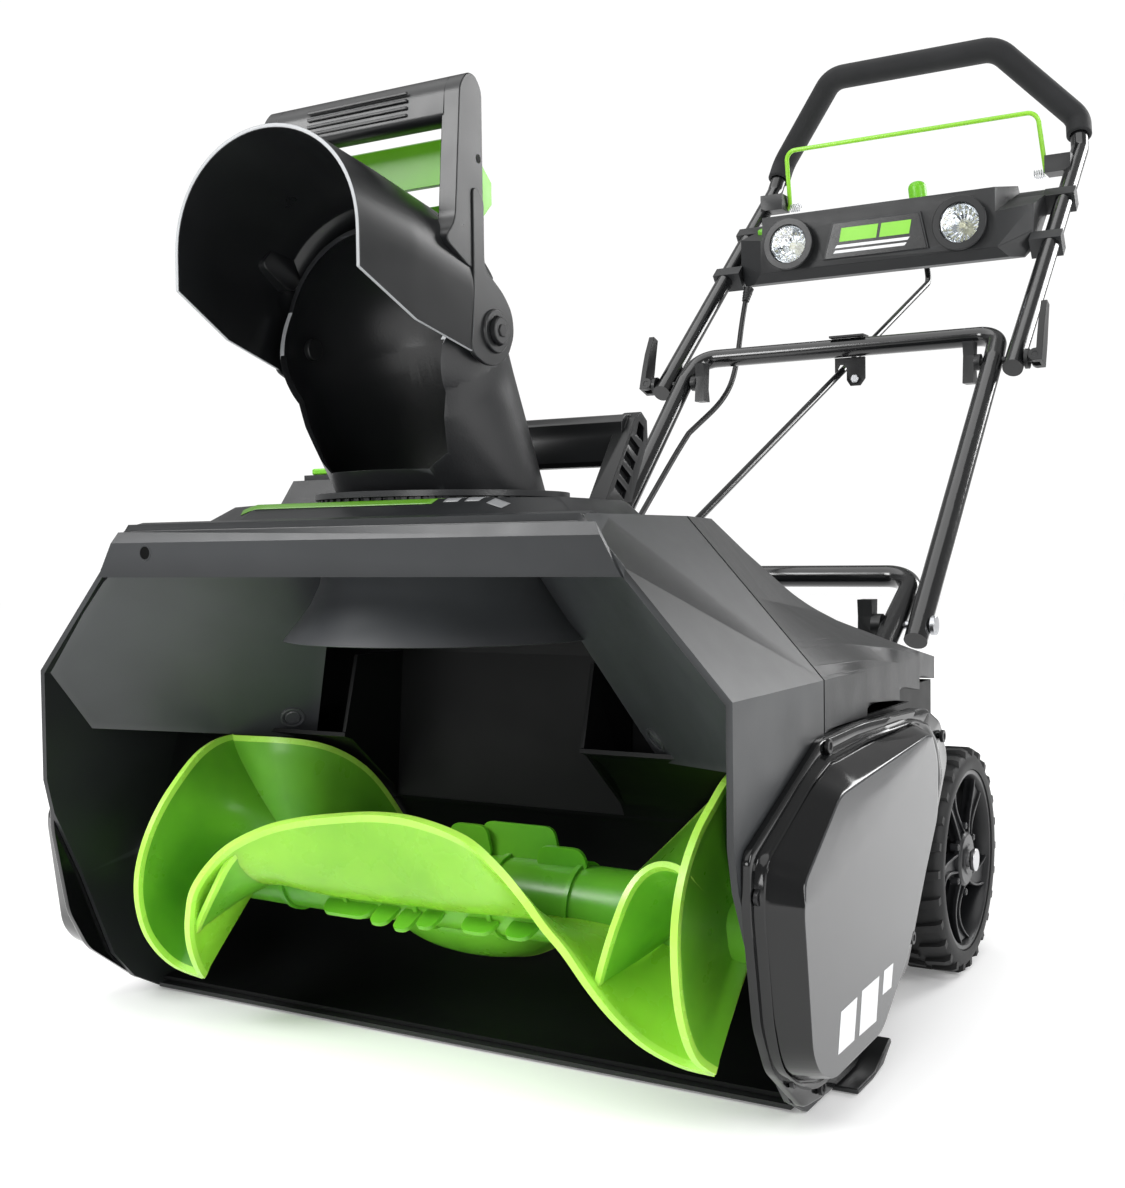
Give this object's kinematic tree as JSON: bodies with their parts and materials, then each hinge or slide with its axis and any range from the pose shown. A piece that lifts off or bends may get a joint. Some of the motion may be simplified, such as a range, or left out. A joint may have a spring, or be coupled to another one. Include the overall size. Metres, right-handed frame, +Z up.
{
  "type": "cordless snow thrower",
  "caption": "Walk-behind cordless snow thrower with scoop and auger, turning chute with tilting deflector, wheels, folding handle and lamp panel.",
  "frame": {"origin": "middle of the footprint's bounding box, on the ground", "axes": "+Z up, the scoop's mouth faces -Y, the handle stands towards +Y, X is left to right across the machine"},
  "size_m": [0.6, 1.3614, 1.003],
  "materials": {
    "shell": "moulded plastic with a light grain",
    "shell_2": "moulded plastic with a light grain",
    "pan": "moulded plastic",
    "liner": "smooth moulded plastic",
    "funnel": "smooth moulded plastic",
    "scraper": "hard wear strip",
    "cover": "glossy moulded plastic",
    "screw": "black coated screws",
    "foot": "hard plastic",
    "base_plate": "moulded plastic",
    "carry": "satin moulded plastic",
    "tube": "satin powder coat",
    "steel": "turned steel",
    "motor": "painted steel can",
    "pulley": "turned aluminium",
    "pulley_plastic": "glass-filled plastic",
    "belt": "ribbed rubber",
    "board": "circuit board with potted parts",
    "battery": "moulded plastic",
    "gearbox": "moulded plastic",
    "auger": "bright green moulded rubber and plastic",
    "tyre": "solid tread",
    "rim": "moulded plastic",
    "chute": "moulded plastic",
    "gear": "moulded plastic",
    "zinc": "zinc-plated steel",
    "hood": "moulded plastic",
    "green": "bright green plastic",
    "rod": "black coated steel rod",
    "bracket": "black coated steel plate",
    "foam": "closed-cell foam sleeve",
    "panel": "moulded plastic with a light grain",
    "panel_2": "moulded plastic",
    "bezel": "satin moulded ring",
    "reflector": "bright metallised plastic",
    "lens": "clear moulded lens",
    "button": "bright green button",
    "green_wire": "bright green coated wire",
    "clamp": "moulded plastic on a steel bolt",
    "lever": "moulded plastic",
    "wing": "moulded plastic",
    "door": "moulded plastic",
    "latch": "bright green plastic",
    "cable": "round rubber lead"
  },
  "bodies": {
    "machine": {"auger_housing": "shell", "rear_shell": "shell_2", "base_pan": "pan", "trough_liner": "liner", "funnel_panels": "funnel", "scraper_bar": "scraper", "side_cover_right": "cover", "side_cover_left": "cover", "housing_screws": "screw", "skid_feet": "foot", "chute_base": "base_plate", "carry_handle": "carry", "lower_frame": "tube", "axle": "steel", "motor_case": "motor", "auger_bearings": "steel", "controller_board": "board", "battery_pack": "battery", "chute_drive_box": "gearbox", "drive_belt": "belt", "frame_bolts": "zinc", "lower_cable": "cable"},
    "auger": {"auger_rotor": "auger", "auger_shaft": "steel", "auger_pulley": "pulley_plastic"},
    "motor_rotor": {"motor_pulley": "pulley"},
    "idler": {"idler_pulley": "pulley"},
    "wheel_right": {"tyre_right": "tyre", "rim_right": "rim"},
    "wheel_left": {"tyre_left": "tyre", "rim_left": "rim"},
    "chute": {"chute_tube": "chute", "chute_gear": "gear", "pivot_bolts": "zinc"},
    "deflector": {"deflector_hood": "hood"},
    "tilt_lever": {"release_lever": "green"},
    "crank": {"crank_rod": "rod"},
    "crank_grip": {"crank_knob": "green"},
    "middle_section": {"middle_handle": "tube", "rod_bracket": "bracket", "middle_cable": "cable"},
    "upper_section": {"upper_handle": "tube", "foam_grip": "foam", "panel_front": "panel", "panel_back": "panel_2", "lamp_bezels": "bezel", "lamp_reflectors": "reflector", "lamp_lenses": "lens", "switch_box": "panel_2", "bail_mounts": "panel_2", "clamp_knobs": "clamp", "upper_cable": "cable"},
    "bail_bar": {"bail": "green_wire"},
    "button": {"start_button": "button"},
    "clamp_lever_right": {"cam_lever_right": "lever"},
    "clamp_lever_left": {"cam_lever_left": "lever"},
    "knob_right": {"wing_knob_right": "wing"},
    "knob_left": {"wing_knob_left": "wing"},
    "hatch": {"battery_door": "door"},
    "hatch_latch": {"door_latch": "latch"}
  },
  "joints": [
    {"name": "auger_spin", "type": "hinge", "parent": "machine", "child": "auger", "pos_m": [0, -0.51574, 0.107], "axis": [1, 0, 0], "continuous": true},
    {"name": "motor_spin", "type": "hinge", "parent": "machine", "child": "motor_rotor", "pos_m": [-0.24, -0.36874, 0.172], "axis": [1, 0, 0], "continuous": true},
    {"name": "idler_spin", "type": "hinge", "parent": "machine", "child": "idler", "pos_m": [-0.283, -0.40934, 0.1038], "axis": [1, 0, 0], "continuous": true},
    {"name": "wheel_right_roll", "type": "hinge", "parent": "machine", "child": "wheel_right", "pos_m": [0.258, -0.18174, 0.0889], "axis": [1, 0, 0], "continuous": true},
    {"name": "wheel_left_roll", "type": "hinge", "parent": "machine", "child": "wheel_left", "pos_m": [-0.258, -0.18174, 0.0889], "axis": [1, 0, 0], "continuous": true},
    {"name": "chute_turn", "type": "hinge", "parent": "machine", "child": "chute", "pos_m": [0, -0.50074, 0.374], "axis": [0, 0, 1], "range_deg": [-90, 90]},
    {"name": "deflector_tilt", "type": "hinge", "parent": "chute", "child": "deflector", "pos_m": [0, -0.55574, 0.478], "axis": [1, 0, 0], "range_deg": [-10, 25]},
    {"name": "lever_squeeze", "type": "hinge", "parent": "deflector", "child": "tilt_lever", "pos_m": [0, -0.57074, 0.583], "axis": [1, 0, 0], "range_deg": [0, 8], "stiffness_Nm_per_rad": 1.5, "springref_deg": -8.59},
    {"name": "crank_turn", "type": "hinge", "parent": "machine", "child": "crank", "pos_m": [-0.0305, -0.15504, 0.3063], "axis": [0.0554, 0.8942, 0.4443], "range_deg": [-360, 360]},
    {"name": "knob_spin", "type": "hinge", "parent": "crank", "child": "crank_grip", "pos_m": [0.00534, 0.62726, 0.79823], "axis": [-0.1218, 0, 0.9926], "continuous": true},
    {"name": "lower_fold", "type": "hinge", "parent": "machine", "child": "middle_section", "pos_m": [0, 0.00226, 0.264], "axis": [1, 0, 0], "range_deg": [0, 60]},
    {"name": "upper_fold", "type": "hinge", "parent": "middle_section", "child": "upper_section", "pos_m": [0, 0.28226, 0.539], "axis": [1, 0, 0], "range_deg": [0, 60]},
    {"name": "bail_squeeze", "type": "hinge", "parent": "upper_section", "child": "bail_bar", "pos_m": [0, 0.61326, 0.816], "axis": [-1, 0, 0], "range_deg": [0, 22], "stiffness_Nm_per_rad": 0.6, "springref_deg": -17.19},
    {"name": "start_press", "type": "slide", "parent": "upper_section", "child": "button", "axis": [0, 0.3482, -0.9374], "range_m": [0, 0.003], "stiffness_N_per_m": 500, "springref_m": -0.002},
    {"name": "clamp_lever_right_flip", "type": "hinge", "parent": "upper_section", "child": "clamp_lever_right", "pos_m": [0.2337, 0.28226, 0.539], "axis": [0, 0.9488, -0.3159], "range_deg": [0, 90]},
    {"name": "clamp_lever_left_flip", "type": "hinge", "parent": "upper_section", "child": "clamp_lever_left", "pos_m": [-0.2337, 0.28226, 0.539], "axis": [0, -0.9488, 0.3159], "range_deg": [0, 90]},
    {"name": "knob_right_turn", "type": "hinge", "parent": "machine", "child": "knob_right", "pos_m": [0.14, 0.00226, 0.264], "axis": [1, 0, 0], "continuous": true},
    {"name": "knob_left_turn", "type": "hinge", "parent": "machine", "child": "knob_left", "pos_m": [-0.14, 0.00226, 0.264], "axis": [1, 0, 0], "continuous": true},
    {"name": "hatch_swing", "type": "hinge", "parent": "machine", "child": "hatch", "pos_m": [-0.12, -0.26574, 0.4], "axis": [-1, 0, 0], "range_deg": [0, 75]},
    {"name": "hatch_latch_slide", "type": "slide", "parent": "hatch", "child": "hatch_latch", "axis": [0, -1, 0], "range_m": [0, 0.006], "stiffness_N_per_m": 200, "springref_m": -0.002}
  ],
  "couplings": [
    {"joint": "motor_spin", "follows": "auger_spin", "ratio": 3.6923},
    {"joint": "idler_spin", "follows": "auger_spin", "ratio": -3.4286},
    {"joint": "crank_turn", "follows": "chute_turn", "ratio": 4}
  ]
}
